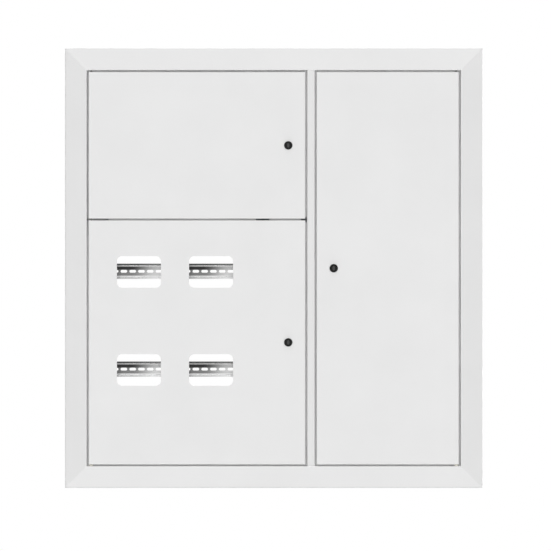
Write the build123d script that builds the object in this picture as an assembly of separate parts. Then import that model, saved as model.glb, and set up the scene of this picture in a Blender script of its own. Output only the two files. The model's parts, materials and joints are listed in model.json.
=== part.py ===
from build123d import *
from collections import namedtuple
import os

# Recessed floor distribution board of folded sheet steel with three doors.
# Millimetres. X runs to the right, Y into the wall, Z up. Y = 0 is the rear face,
# and the origin is the middle of the rectangle of rear fixing holes.

# Whole board
frame_width = 950.0
frame_height = 1000.0
board_depth = 140.0
sheet = 1.2
inside_bend = 0.8

# Front frame: a bezel that falls back to the wall, with a return into the niche
bezel_width = 50.0
bezel_fall = 15.0
bezel_lip = 5.0
return_depth = 36.0

# Box walls, lapped inside the return of the frame
stop_setback = 15.0
stop_width = 14.0
rear_flange = 30.0
fixing_inset = 17.0
fixing_end_inset = 15.0
fixing_diameter = 10.0

# Cable entry plates, lapped outside the top and bottom walls
entry_plate_lap = 22.0
entry_wall_gap = 1.25
entry_rear_margin = 10.0
entry_width = 100.0
riser_entry_width = 160.0
entry_radius = 8.0

# Bays behind the doors
left_bay = 501.0
upper_bay = 339.3
post_width = 17.4
post_setback = 2.0
post_notch_height = 12.0

# Divider behind the seam of the two left doors
divider_height = 26.0
divider_web_start = 49.0
divider_leg_setback = 15.0
divider_slot_length = 30.0
divider_slot_height = 8.0
divider_slot_radius = 2.5
divider_slot_from_post = 101.3

# Doors
door_gap = 4.0
door_return = 12.0
rest_clearance = 0.3
window_width = 100.0
window_height = 72.0
window_radius = 12.0
window_from_hinge = 114.5
window_from_top = 117.2
window_pitch_x = 164.0
window_pitch_z = 223.0
window_column_count = 2
window_row_count = 2

# Door pivots
pivot_inset = 6.0
pivot_setback = 5.5
pin_diameter = 4.0
pin_head_diameter = 5.6
pin_head = 1.5
pin_reach = 8.0
running_clearance = 0.08
washer_diameter = 8.4
bracket_length = 46.0
bracket_plate = 2.5
bracket_setback = 1.5
bracket_corner = 4.0

# Quarter-turn locks
lock_inset = 39.0
lock_rim_diameter = 19.0
lock_rim = 2.5
lock_rim_chamfer = 0.8
lock_shank_diameter = 16.0
lock_bore = 12.0
core_head_diameter = 15.0
core_head = 1.6
core_fit = 0.05
core_tail = 1.5
key_recess_diameter = 9.8
key_recess = 5.0
key_pin_diameter = 4.6
key_wing_length = 9.0
key_wing_width = 3.0
lock_hole_clearance = 0.15
nut_width = 21.0
nut_thickness = 4.0
cam_square = 7.0
cam_plate = 2.5
cam_clearance = 1.3
cam_width = 18.0
cam_length = 41.0
cam_tip_radius = 4.0
cam_screw_diameter = 5.0
cam_screw_depth = 8.0
cam_screw_head_diameter = 14.0

# Inner steelwork
liner_sheet = 1.5
tab_relief = 3.0
upright_width = 30.0
middle_upright_width = 40.0
upright_depth = 20.5
upright_slot_length = 14.0
upright_slot_width = 6.5
upright_slot_pitch = 60.0
rail_setback = 52.0
rail_gap = 14.0
rail_height = 35.0
rail_channel = 27.0
rail_rise = 7.5
rail_sheet = 1.0
rail_slot_length = 15.0
rail_slot_width = 6.2
rail_slot_pitch = 20.0
rail_slot_shift = 5.0
rail_screw_inset = 7.5
rail_lift = 1.5

# Terminal bars across the middle and right uprights
bar_height = 12.0
bar_thickness = 7.0
bar_overhang = 10.0
earth_bar_rise = 30.0
neutral_bar_rise = 75.0
insulator_diameter = 18.0
insulator_waist = 13.0
insulator_length = 18.0
insulator_rib = 4.5
insulator_screw_depth = 5.0
spacer_diameter = 12.0
spacer_length = 10.0
terminal_pitch = 14.0
terminal_diameter = 4.4
terminal_head_diameter = 8.0
cable_hole_diameter = 5.0

# Meter panel of the upper bay
panel_setback = 78.0
panel_left_inset = 20.0
panel_right_inset = 6.0
panel_top_inset = 30.0
panel_edge_clearance = 1.8
panel_gap = 2.0
panel_slot_length = 30.0
panel_slot_width = 6.5
panel_slot_columns = 4
panel_slot_rows = 2
panel_slot_pitch_x = 110.0
panel_slot_pitch_z = 130.0
panel_screw_span = 230.0

# Straps of the right bay
strap_height = 40.0
strap_depth = 15.0
strap_setback = 70.0
strap_end_inset = 150.0
strap_slot_length = 22.0
strap_slot_width = 7.0
strap_slot_pitch = 42.0
strap_slot_margin = 32.0

# Small hardware
screw_diameter = 4.8
screw_head_diameter = 9.0
screw_head = 2.6
screw_head_chamfer = 1.0
screw_hole_clearance = 0.1
screw_reach = 3.0
stud_diameter = 8.0
stud_length = 29.0
stud_height = 50.0
stud_from_rear = 30.0
stud_washer_diameter = 16.0
stud_washer = 1.6
stud_nut_width = 13.0
stud_nut = 6.5
door_stud_diameter = 6.0
door_stud_length = 12.0
door_stud_inset = 60.0
door_stud_height = 40.0

# Places worked out from the sizes above
opening_width = frame_width - 2 * bezel_width
opening_height = frame_height - 2 * bezel_width
half_width = opening_width / 2
half_height = opening_height / 2
inner_half_width = half_width - sheet
inner_half_height = half_height - sheet
face_y = -board_depth
stop_y = face_y + stop_setback
wall_depth = board_depth - stop_setback
outside_bend = inside_bend + sheet
lip_edge_x = half_width - stop_width
lip_edge_z = half_height - stop_width
post_left = left_bay - half_width
post_right = post_left + post_width
post_x = (post_left + post_right) / 2
partition_left = post_x - sheet / 2
partition_right = post_x + sheet / 2
right_bay_x = (partition_right + half_width) / 2
seam_z = half_height - upper_bay
divider_top = seam_z + divider_height / 2
divider_bottom = seam_z - divider_height / 2
divider_depth = panel_setback - stop_setback - panel_gap
pivot_y = face_y + pivot_setback
pin_radius = pin_diameter / 2
pin_hole_radius = pin_radius + running_clearance
screw_radius = screw_diameter / 2
screw_hole_radius = screw_radius + screw_hole_clearance
rail_front_y = face_y + rail_setback
upright_y = rail_front_y + rail_rise
tab_screw_y = (upright_y + stop_y + divider_depth) / 2
cross_wall_rear_y = tab_screw_y + entry_plate_lap / 2
entry_plate_front_y = tab_screw_y - entry_plate_lap / 2
rail_length = window_pitch_x - rail_gap
neutral_z = neutral_bar_rise - inner_half_height
earth_z = earth_bar_rise - inner_half_height
cut = 1.0

Door = namedtuple("Door", "name hinge_x free_x bottom top")
doors = [
    Door("upper_left", -half_width + door_gap, post_left - door_gap,
         seam_z + door_gap / 2, half_height - door_gap),
    Door("lower_left", -half_width + door_gap, post_left - door_gap,
         -half_height + door_gap, seam_z - door_gap / 2),
    Door("right", half_width - door_gap, post_right + door_gap,
         -half_height + door_gap, half_height - door_gap),
]
upper_left, lower_left, right = doors

window_columns = [lower_left.hinge_x + window_from_hinge + i * window_pitch_x
                  for i in range(window_column_count)]
window_rows = [lower_left.top - window_from_top - i * window_pitch_z
               for i in range(window_row_count)]
rail_ends = [column + side * (rail_length / 2 - rail_screw_inset)
             for column in window_columns for side in (-1, 1)]
upright_places = {
    "left": (rail_ends[0] - rail_screw_inset, upright_width),
    "middle": ((rail_ends[1] + rail_ends[2]) / 2, middle_upright_width),
    "right": (rail_ends[3] + rail_screw_inset, upright_width),
}


# Helpers for sheet metal and turned pieces
def box_between(x0, x1, y0, y1, z0, z1):
    middle = Pos((x0 + x1) / 2, (y0 + y1) / 2, (z0 + z1) / 2)
    return middle * Box(abs(x1 - x0), abs(y1 - y0), abs(z1 - z0))


def rod(start, direction, length, radius):
    base = Plane(origin=start, z_dir=direction)
    return base * Cylinder(radius, length, align=(Align.CENTER, Align.CENTER, Align.MIN))


def front_plane(x, y, z):
    # Looks at the board from the front: local x is X, local y is Z, extrusion runs forwards
    return Plane(origin=(x, y, z), x_dir=(1, 0, 0), z_dir=(0, -1, 0))


def through_sheet(outline, x, y, z):
    return extrude(front_plane(x, y, z) * outline, amount=cut + liner_sheet, both=True)


def folded_strip(points, thickness):
    # Section of a folded sheet, from the points of one surface, with the sheet on their right
    surface = [Vector(*point) for point in points]
    steps = [(b - a).normalized() for a, b in zip(surface, surface[1:])]
    normals = [Vector(step.Y, -step.X) for step in steps]
    backing = [surface[0] + normals[0] * thickness]
    radii = []
    back_radii = []
    for i in range(1, len(steps)):
        before, after = normals[i - 1], normals[i]
        backing.append(surface[i] + (before + after) * (thickness / (1 + before.dot(after))))
        turns_right = steps[i - 1].cross(steps[i]).Z < 0
        radii.append(inside_bend + thickness if turns_right else inside_bend)
        back_radii.append(inside_bend if turns_right else inside_bend + thickness)
    backing.append(surface[-1] + normals[-1] * thickness)
    outline = FilletPolyline(*surface, radius=radii)
    outline += Line(surface[-1], backing[-1])
    outline += FilletPolyline(*reversed(backing), radius=list(reversed(back_radii)))
    outline += Line(backing[0], surface[0])
    return make_face(outline)


def turned(points, x, z):
    # Revolved about the line along Y through (x, z), from (radius, y) points
    outline = make_face(Polyline(*points, close=True))
    return Pos(x, 0, z) * revolve(outline, Axis.Y)


def hexagon(width):
    return RegularPolygon(width / 2, 6, major_radius=False)


def headed_screw(seat, facing, length, radius=screw_radius, head_radius=screw_head_diameter / 2):
    # Head on the side of the seat that facing points to, shank running the other way
    crown = head_radius - screw_head_chamfer
    outline = make_face(Polyline(
        (0, screw_head), (crown, screw_head), (head_radius, screw_head - screw_head_chamfer),
        (head_radius, 0), (radius, 0), (radius, -length), (0, -length), close=True))
    return Plane(origin=seat, z_dir=facing) * revolve(Plane.XZ * outline, Axis.Z)


def grid(columns, rows, pitch_x, pitch_z):
    return [((i - (columns - 1) / 2) * pitch_x, (j - (rows - 1) / 2) * pitch_z)
            for i in range(columns) for j in range(rows)]


def toward_free(door):
    return 1 if door.free_x > door.hinge_x else -1


def pivot_x(door):
    return door.hinge_x + toward_free(door) * pivot_inset


def lock_place(door):
    return door.free_x - toward_free(door) * lock_inset, (door.bottom + door.top) / 2


# Front frame: four folded members with mitred ends, welded into one
def frame_member(half_length):
    section = folded_strip(
        [(bezel_width, bezel_fall + bezel_lip), (bezel_width, bezel_fall), (0, 0), (0, return_depth)],
        sheet)
    strip = extrude(section, amount=half_length + bezel_width, both=True)
    mitre = make_face(Polyline(
        (0, half_length), (bezel_width, half_length + bezel_width),
        (bezel_width, -half_length - bezel_width), (0, -half_length), close=True))
    return strip & extrude(Plane.XZ * mitre, amount=board_depth, both=True)


def front_frame():
    upright = frame_member(half_height)
    cross_piece = frame_member(half_width)
    frame = Plane(origin=(half_width, face_y, 0), x_dir=(1, 0, 0), z_dir=(0, 0, 1)) * upright
    frame += Plane(origin=(-half_width, face_y, 0), x_dir=(-1, 0, 0), z_dir=(0, 0, -1)) * upright
    frame += Plane(origin=(0, face_y, half_height), x_dir=(0, 0, 1), z_dir=(-1, 0, 0)) * cross_piece
    frame += Plane(origin=(0, face_y, -half_height), x_dir=(0, 0, -1), z_dir=(1, 0, 0)) * cross_piece
    for side, hung in ((1, (upper_left, right)), (-1, (lower_left, right))):
        for door in hung:
            start = (pivot_x(door), pivot_y, side * (half_height - cut))
            frame -= rod(start, (0, 0, side), sheet + 2 * cut, pin_hole_radius)
    return frame


# Box walls
def left_side():
    section = folded_strip(
        [(stop_width, 0), (0, 0), (0, wall_depth), (rear_flange, wall_depth)], sheet)
    base = Plane(origin=(-half_width, stop_y, -half_height), x_dir=(1, 0, 0), z_dir=(0, 0, 1))
    wall = extrude(base * section, amount=opening_height)
    for side in (-1, 1):
        place = (fixing_inset - half_width, -sheet - cut, side * (half_height - fixing_end_inset))
        wall -= rod(place, (0, 1, 0), sheet + 2 * cut, fixing_diameter / 2)
    return wall


def left_wall():
    wall = left_side()
    for x, z in meter_screw_places():
        if x < 0:
            wall -= rod((x, -sheet - cut, z), (0, 1, 0), sheet + 2 * cut, screw_hole_radius)
    return wall


def right_wall():
    wall = mirror(left_side(), about=Plane.YZ)
    for z in strap_places.values():
        start = (inner_half_width - cut, strap_screw_y, z)
        wall -= rod(start, (1, 0, 0), sheet + 2 * cut, screw_hole_radius)
    return wall


def top_wall():
    section = folded_strip([(stop_width, 0), (0, 0), (0, cross_wall_rear_y - stop_y)], sheet)
    base = Plane(origin=(-inner_half_width, stop_y, half_height), x_dir=(0, 0, -1), z_dir=(1, 0, 0))
    wall = extrude(base * section, amount=2 * inner_half_width)
    for side in (-1, 1):
        wall -= box_between(side * lip_edge_x, side * half_width, stop_y - cut, stop_y + outside_bend,
                            lip_edge_z - cut, half_height + cut)
    return wall - plate_screw_holes()


def plate_screw_columns():
    return [x for x, width in upright_places.values()] + [right_bay_x]


def plate_screw_holes():
    return [rod((x, tab_screw_y, inner_half_height - cut), (0, 0, 1), 2 * (sheet + cut), screw_hole_radius)
            for x in plate_screw_columns()]


def top_entry_plate():
    plate = box_between(-half_width, half_width, entry_plate_front_y, 0, half_height, half_height + sheet)
    front = cross_wall_rear_y + entry_wall_gap
    depth = -entry_rear_margin - front
    entries = [(x, entry_width) for x in window_columns] + [(right_bay_x, riser_entry_width)]
    for x, width in entries:
        outline = Pos(x, front + depth / 2, half_height) * RectangleRounded(width, depth, entry_radius)
        plate -= extrude(outline, amount=sheet + cut, both=True)
    return plate - plate_screw_holes()


# Centre post, partition and divider
def centre_post():
    leg = stop_setback - post_setback
    half = post_width / 2
    section = folded_strip(
        [(half + stop_width, leg), (half, leg), (half, 0),
         (-half, 0), (-half, leg), (-half - stop_width, leg)], sheet)
    base = Plane(origin=(post_x, face_y + post_setback, -half_height), x_dir=(1, 0, 0), z_dir=(0, 0, 1))
    post = extrude(base * section, amount=opening_height)
    for side in (-1, 1):
        post -= box_between(post_left - stop_width - cut, post_right + stop_width + cut,
                            stop_y, stop_y + sheet + cut, side * lip_edge_z, side * (half_height + cut))
    post -= box_between(post_left - stop_width - cut, post_left - inside_bend,
                        stop_y - cut, stop_y + sheet + cut,
                        seam_z - post_notch_height / 2, seam_z + post_notch_height / 2)
    return post


def partition_panel():
    front_edge = face_y + post_setback + sheet
    section = folded_strip(
        [(partition_left - rear_flange, 0), (partition_right, 0), (partition_right, front_edge)], sheet)
    base = Plane(origin=(0, 0, -inner_half_height), x_dir=(1, 0, 0), z_dir=(0, 0, 1))
    panel = extrude(base * section, amount=2 * inner_half_height)
    for side in (-1, 1):
        panel -= box_between(partition_left - cut, partition_right + cut,
                             front_edge - cut, stop_y + outside_bend,
                             side * lip_edge_z, side * half_height)
    for x, z in meter_screw_places():
        if x > 0:
            panel -= rod((x, -sheet - cut, z), (0, 1, 0), sheet + 2 * cut, screw_hole_radius)
    for z in strap_places.values():
        panel -= rod((partition_left - cut, strap_screw_y, z), (1, 0, 0), sheet + 2 * cut, screw_hole_radius)
    return panel


def divider_rail():
    half = divider_height / 2
    section = folded_strip([(half, divider_depth), (half, 0), (-half, 0), (-half, divider_depth)], sheet)
    base = Plane(origin=(partition_left, stop_y, seam_z), x_dir=(0, 0, 1), z_dir=(-1, 0, 0))
    rail = extrude(base * section, amount=partition_left + inner_half_width)
    web_left = divider_web_start - half_width
    web_right = post_left - stop_width
    leg_y = stop_y + divider_leg_setback
    for x0, x1 in ((-half_width, web_left), (web_right, partition_right)):
        rail -= box_between(x0, x1, stop_y - cut, leg_y, divider_bottom - cut, divider_top + cut)
    for x, width in upright_places.values():
        rail -= rod((x, tab_screw_y, divider_bottom - cut), (0, 0, 1), sheet + 2 * cut, screw_hole_radius)
    slot = RectangleRounded(divider_slot_length, divider_slot_height, divider_slot_radius)
    return rail - through_sheet(slot, post_left - divider_slot_from_post, stop_y, seam_z)


# Doors
def tray(door, depth):
    # Folded tray: outer form with round front folds, less the inner form
    middle_x = (door.hinge_x + door.free_x) / 2
    middle_z = (door.bottom + door.top) / 2
    width = abs(door.free_x - door.hinge_x)
    height = door.top - door.bottom
    outer = Pos(middle_x, face_y + depth / 2, middle_z) * Box(width, depth, height)
    outer = fillet(outer.faces().sort_by(Axis.Y)[0].edges(), outside_bend)
    inner = Pos(middle_x, face_y + sheet + depth / 2, middle_z)
    inner = inner * Box(width - 2 * sheet, depth, height - 2 * sheet)
    inner = fillet(inner.faces().sort_by(Axis.Y)[0].edges(), inside_bend)
    return outer - inner


def door_leaf(door):
    # The return of the free edge is deeper and closes on the stop
    leaf = tray(door, stop_setback - rest_clearance)
    free_inner = door.free_x - toward_free(door) * outside_bend
    leaf -= box_between(door.hinge_x - toward_free(door) * cut, free_inner, face_y + door_return,
                        stop_y + cut, door.bottom - cut, door.top + cut)
    lock_x, lock_z = lock_place(door)
    lock_hole = lock_shank_diameter / 2 + lock_hole_clearance
    leaf -= rod((lock_x, face_y - cut, lock_z), (0, 1, 0), sheet + 2 * cut, lock_hole)
    for z in (door.bottom, door.top - sheet):
        leaf -= rod((pivot_x(door), pivot_y, z - cut), (0, 0, 1), sheet + 2 * cut, pin_hole_radius)
    return leaf


def windowed_leaf(door):
    leaf = door_leaf(door)
    opening = RectangleRounded(window_width, window_height, window_radius)
    for x in window_columns:
        for z in window_rows:
            leaf -= through_sheet(opening, x, face_y, z)
    return leaf


def door_stud(door):
    x = door.hinge_x + toward_free(door) * door_stud_inset
    return rod((x, face_y + sheet, door.bottom + door_stud_height), (0, 1, 0), door_stud_length,
               door_stud_diameter / 2)


# Door pivots
def frame_pin(door, side):
    # Headed pin from outside the frame into the top or bottom return of a door
    seat = side * (half_height + sheet)
    inward = (0, 0, -side)
    length = sheet + door_gap + sheet + pin_reach
    pin = rod((pivot_x(door), pivot_y, seat), inward, length, pin_radius)
    return pin + rod((pivot_x(door), pivot_y, seat), (0, 0, side), pin_head, pin_head_diameter / 2)


def pivot_washer(door):
    place = (pivot_x(door), pivot_y, -half_height)
    thickness = door_gap - rest_clearance
    washer = rod(place, (0, 0, 1), thickness, washer_diameter / 2)
    return washer - rod(place, (0, 0, 1), thickness, pin_hole_radius)


def pivot_bracket():
    length = bracket_length
    depth = stop_setback - bracket_setback
    outline = Pos(length / 2 - half_width, stop_y - depth / 2) * Rectangle(length, depth)
    corner = outline.vertices().sort_by(Axis.Y)[:2].sort_by(Axis.X)[-1]
    outline = fillet(corner, bracket_corner)
    outline -= Pos(pivot_x(upper_left), pivot_y) * Circle(pin_radius)
    return extrude(Pos(0, 0, seam_z) * outline, amount=bracket_plate / 2, both=True)


def middle_pin():
    half = door_gap / 2 + sheet + pin_reach
    return rod((pivot_x(upper_left), pivot_y, seam_z - half), (0, 0, 1), 2 * half, pin_radius)


# Quarter-turn locks
core_back = stop_setback + sheet + cam_clearance
lock_shank_length = core_back - core_tail
cam_y = face_y + core_back
core_floor = face_y - lock_rim + core_head + core_fit


def lock_housing(door):
    x, z = lock_place(door)
    rim = lock_rim_diameter / 2
    shank = lock_shank_diameter / 2
    counterbore = core_head_diameter / 2 + core_fit
    front = face_y - lock_rim
    back = face_y + lock_shank_length
    return turned(
        [(lock_bore / 2, core_floor), (counterbore, core_floor), (counterbore, front),
         (rim - lock_rim_chamfer, front), (rim, front + lock_rim_chamfer), (rim, face_y),
         (shank, face_y), (shank, back), (lock_bore / 2, back)], x, z)


def lock_nut(door):
    x, z = lock_place(door)
    outline = hexagon(nut_width) - Circle(lock_shank_diameter / 2 + core_fit)
    return extrude(front_plane(x, face_y + sheet, z) * outline, amount=-nut_thickness)


def lock_core(door):
    x, z = lock_place(door)
    shank = lock_bore / 2 - core_fit
    front = core_floor - core_fit - core_head
    body = turned(
        [(0, front), (core_head_diameter / 2, front), (core_head_diameter / 2, core_floor - core_fit),
         (shank, core_floor - core_fit), (shank, cam_y), (0, cam_y)], x, z)
    recess = Circle(key_recess_diameter / 2) - Circle(key_pin_diameter / 2)
    recess -= Rectangle(key_wing_width, key_wing_length)
    body -= extrude(front_plane(x, front, z) * recess, amount=-key_recess)
    body += extrude(front_plane(x, cam_y, z) * Rectangle(cam_square, cam_square), amount=-cam_plate)
    return body - rod((x, cam_y + cam_plate - cam_screw_depth, z), (0, 1, 0), cam_screw_depth,
                      cam_screw_diameter / 2)


def lock_cam(door):
    # Tongue that hangs down when the lock is open
    x, z = lock_place(door)
    bar = Pos(0, -cam_length / 2) * Rectangle(cam_width, cam_length)
    bar = fillet(bar.vertices().group_by(Axis.Y)[0], cam_tip_radius)
    outline = bar + Circle(cam_width / 2)
    outline -= Rectangle(cam_square, cam_square)
    return extrude(front_plane(x, cam_y, z) * outline, amount=-cam_plate)


def cam_screw(door):
    x, z = lock_place(door)
    return headed_screw((x, cam_y + cam_plate, z), (0, 1, 0), cam_screw_depth,
                        cam_screw_diameter / 2, cam_screw_head_diameter / 2)


# Uprights and mounting rails of the lower left bay
def tab_width(width):
    return width - 2 * (liner_sheet + inside_bend + tab_relief)


def rail_upright(place):
    # Channel whose web runs on at both ends into tabs folded backwards
    x, width = place
    section = folded_strip(
        [(width / 2, upright_depth), (width / 2, 0), (-width / 2, 0), (-width / 2, upright_depth)],
        liner_sheet)
    base = Plane(origin=(x, upright_y, tab_relief - inner_half_height), x_dir=(1, 0, 0), z_dir=(0, 0, 1))
    upright = extrude(base * section, amount=divider_bottom + inner_half_height - 2 * tab_relief)
    tabs = folded_strip(
        [(divider_bottom, upright_depth), (divider_bottom, 0), (-inner_half_height, 0),
         (-inner_half_height, upright_depth)], liner_sheet)
    side = Plane(origin=(x, upright_y, 0), x_dir=(0, 0, 1), z_dir=(-1, 0, 0))
    upright += extrude(side * tabs, amount=tab_width(width) / 2, both=True)
    upright -= rod((x, tab_screw_y, -half_height), (0, 0, 1), opening_height, screw_hole_radius)
    slot = Rot(0, 0, 90) * SlotOverall(upright_slot_length, upright_slot_width)
    middle_z = sum(window_rows) / 2
    for offset in (-1, 0, 1):
        upright -= through_sheet(slot, x, upright_y, middle_z + offset * upright_slot_pitch)
    for screw_x in rail_ends:
        for z in window_rows:
            if abs(screw_x - x) < width / 2:
                upright -= through_sheet(Circle(screw_hole_radius), screw_x, upright_y, z + rail_lift)
    if x in bar_ends():
        for z in (neutral_z, earth_z):
            upright -= through_sheet(Circle(screw_hole_radius), x, upright_y, z)
    return upright


def din_rail(column, row):
    half = rail_height / 2
    channel = rail_channel / 2
    section = folded_strip(
        [(-half, rail_sheet), (-channel, rail_sheet), (-channel, rail_rise), (channel, rail_rise),
         (channel, rail_sheet), (half, rail_sheet)], rail_sheet)
    right_end = (column + rail_length / 2, rail_front_y, row + rail_lift)
    base = Plane(origin=right_end, x_dir=(0, 0, 1), z_dir=(-1, 0, 0))
    rail = extrude(base * section, amount=rail_length)
    web_y = rail_front_y + rail_rise
    slot = SlotOverall(rail_slot_length, rail_slot_width)
    slot_count = int((rail_length - 4 * rail_screw_inset) / rail_slot_pitch)
    for i in range(slot_count):
        x = column + rail_slot_shift + (i - slot_count / 2) * rail_slot_pitch
        rail -= through_sheet(slot, x, web_y, row + rail_lift)
    for side in (-1, 1):
        x = column + side * (rail_length / 2 - rail_screw_inset)
        rail -= through_sheet(Circle(screw_hole_radius), x, web_y, row + rail_lift)
    return rail


def rail_screws():
    seat = upright_y - rail_sheet
    length = rail_sheet + liner_sheet + screw_reach
    return [headed_screw((x, seat, z + rail_lift), (0, -1, 0), length)
            for x in rail_ends for z in window_rows]


# Terminal bars
def bar_ends():
    return upright_places["middle"][0], upright_places["right"][0]


def terminal_places():
    left, right_end = bar_ends()
    count = int((right_end - left - 2 * bar_overhang) / terminal_pitch)
    first = (left + right_end - (count - 1) * terminal_pitch) / 2
    return [first + i * terminal_pitch for i in range(count)]


def terminal_bar(z, standoff):
    left, right_end = bar_ends()
    back = upright_y - standoff
    bar = box_between(left - bar_overhang, right_end + bar_overhang, back - bar_thickness, back,
                      z - bar_height / 2, z + bar_height / 2)
    middle_y = back - bar_thickness / 2
    for x in terminal_places():
        bar -= rod((x, middle_y, z), (0, -1, 0), bar_thickness, terminal_diameter / 2)
        bar -= rod((x, middle_y, z - bar_height), (0, 0, 1), 2 * bar_height, cable_hole_diameter / 2)
    for x in bar_ends():
        bar -= rod((x, back + cut, z), (0, -1, 0), bar_thickness + 2 * cut, screw_hole_radius)
    return bar


def terminal_screws(z, standoff):
    front = upright_y - standoff - bar_thickness
    screws = []
    for x in terminal_places():
        head = rod((x, front, z), (0, -1, 0), screw_head, terminal_head_diameter / 2)
        screws.append(head + rod((x, front, z), (0, 1, 0), bar_thickness / 2, terminal_diameter / 2))
    return screws


def insulator(x):
    z = neutral_z
    outer = insulator_diameter / 2
    waist = insulator_waist / 2
    slope = insulator_rib + (outer - waist) / 2
    front = upright_y - insulator_length
    body = turned(
        [(0, front), (outer, front), (outer, front + insulator_rib), (waist, front + slope),
         (waist, upright_y - slope), (outer, upright_y - insulator_rib), (outer, upright_y),
         (0, upright_y)], x, z)
    body -= rod((x, front, z), (0, 1, 0), insulator_screw_depth, screw_radius)
    return body - rod((x, upright_y, z), (0, -1, 0), insulator_screw_depth, screw_radius)


def bar_spacer(x):
    place = (x, upright_y, earth_z)
    spacer = rod(place, (0, -1, 0), spacer_length, spacer_diameter / 2)
    return spacer - rod(place, (0, -1, 0), spacer_length, screw_hole_radius)


def bar_fixings():
    # The neutral bar is held by separate screws at the two ends of each insulator
    neutral_seat = upright_y - insulator_length - bar_thickness
    earth_seat = upright_y - spacer_length - bar_thickness
    earth_length = bar_thickness + spacer_length + liner_sheet + screw_reach
    front_length = bar_thickness + insulator_screw_depth
    rear_length = liner_sheet + insulator_screw_depth
    screws = []
    for x in bar_ends():
        screws.append(headed_screw((x, neutral_seat, neutral_z), (0, -1, 0), front_length))
        screws.append(headed_screw((x, upright_y + liner_sheet, neutral_z), (0, 1, 0), rear_length))
        screws.append(headed_screw((x, earth_seat, earth_z), (0, -1, 0), earth_length))
    return screws


# Meter panel of the upper left bay
panel_y = face_y + panel_setback
panel_left = panel_left_inset - half_width
panel_right = post_left - panel_right_inset
panel_bottom = divider_bottom + sheet + rest_clearance
panel_top = half_height - panel_top_inset
panel_left_end = panel_edge_clearance - inner_half_width
panel_right_end = partition_left - panel_edge_clearance


def meter_screw_places():
    middle_z = (panel_bottom + panel_top) / 2
    xs = ((panel_left + panel_left_end) / 2, (panel_right + panel_right_end) / 2)
    return [(x, middle_z + side * panel_screw_span / 2) for x in xs for side in (-1, 1)]


def meter_panel():
    foot = -panel_y - 2 * sheet
    section = folded_strip(
        [(panel_right_end, foot), (panel_right, foot), (panel_right, 0), (panel_left, 0),
         (panel_left, foot), (panel_left_end, foot)], sheet)
    base = Plane(origin=(0, panel_y, panel_bottom), x_dir=(1, 0, 0), z_dir=(0, 0, 1))
    panel = extrude(base * section, amount=panel_top - panel_bottom)
    slot = Rot(0, 0, 90) * SlotOverall(panel_slot_length, panel_slot_width)
    middle_x = (panel_left + panel_right) / 2
    middle_z = (panel_bottom + panel_top) / 2
    for x, z in grid(panel_slot_columns, panel_slot_rows, panel_slot_pitch_x, panel_slot_pitch_z):
        panel -= through_sheet(slot, middle_x + x, panel_y, middle_z + z)
    for x, z in meter_screw_places():
        panel -= rod((x, -2 * sheet - cut, z), (0, 1, 0), sheet + 2 * cut, screw_hole_radius)
    return panel


def meter_panel_screws():
    return [headed_screw((x, -2 * sheet, z), (0, -1, 0), 2 * sheet) for x, z in meter_screw_places()]


# Straps of the right bay
strap_y = face_y + strap_setback
strap_reach = half_height - strap_end_inset
strap_places = {"upper": strap_reach, "middle": 0.0, "lower": -strap_reach}


def comms_strap(z):
    # Channel whose web runs on at both ends into tabs folded backwards
    half = strap_height / 2
    length = inner_half_width - partition_right
    section = folded_strip([(half, strap_depth), (half, 0), (-half, 0), (-half, strap_depth)], liner_sheet)
    base = Plane(origin=(inner_half_width - tab_relief, strap_y, z), x_dir=(0, 0, 1), z_dir=(-1, 0, 0))
    strap = extrude(base * section, amount=length - 2 * tab_relief)
    tabs = folded_strip(
        [(inner_half_width, strap_depth), (inner_half_width, 0), (partition_right, 0),
         (partition_right, strap_depth)], liner_sheet)
    level = Plane(origin=(0, strap_y, z), x_dir=(1, 0, 0), z_dir=(0, 0, 1))
    strap += extrude(level * tabs, amount=tab_width(strap_height) / 2, both=True)
    slot = SlotOverall(strap_slot_length, strap_slot_width)
    slot_count = 1 + int((length - 2 * strap_slot_margin - strap_slot_length) / strap_slot_pitch)
    for x, offset in grid(slot_count, 1, strap_slot_pitch, 0):
        strap -= through_sheet(slot, partition_right + length / 2 + x, strap_y, z + offset)
    return strap - rod((partition_left, strap_screw_y, z), (1, 0, 0), length + 2 * sheet, screw_hole_radius)


# Screws of the tabs and the entry plates, in the walls, the partition and the divider
strap_screw_y = strap_y + (strap_depth + liner_sheet) / 2


def sheet_screws():
    length = liner_sheet + sheet + screw_reach
    plate_length = 2 * sheet + screw_reach
    screws = [headed_screw((x, tab_screw_y, inner_half_height), (0, 0, -1), plate_length)
              for x in plate_screw_columns()]
    screws.append(headed_screw((right_bay_x, tab_screw_y, -inner_half_height), (0, 0, 1), plate_length))
    for x, width in upright_places.values():
        screws.append(headed_screw((x, tab_screw_y, liner_sheet - inner_half_height), (0, 0, 1), length))
        screws.append(headed_screw((x, tab_screw_y, divider_bottom - liner_sheet), (0, 0, -1), length))
    for z in strap_places.values():
        screws.append(headed_screw((partition_right + liner_sheet, strap_screw_y, z), (1, 0, 0), length))
        screws.append(headed_screw((inner_half_width - liner_sheet, strap_screw_y, z), (-1, 0, 0), length))
    return screws


# Protective earth stud on the left wall
stud_base = (-inner_half_width, -stud_from_rear, stud_height - half_height)


def earth_stud():
    return rod(stud_base, (1, 0, 0), stud_length, stud_diameter / 2)


def earth_washer():
    washer = rod(stud_base, (1, 0, 0), stud_washer, stud_washer_diameter / 2)
    return washer - earth_stud()


def earth_nut():
    seat = (stud_base[0] + stud_washer, stud_base[1], stud_base[2])
    nut = extrude(Plane(origin=seat, z_dir=(1, 0, 0)) * hexagon(stud_nut_width), amount=stud_nut)
    return nut - earth_stud()


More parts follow.
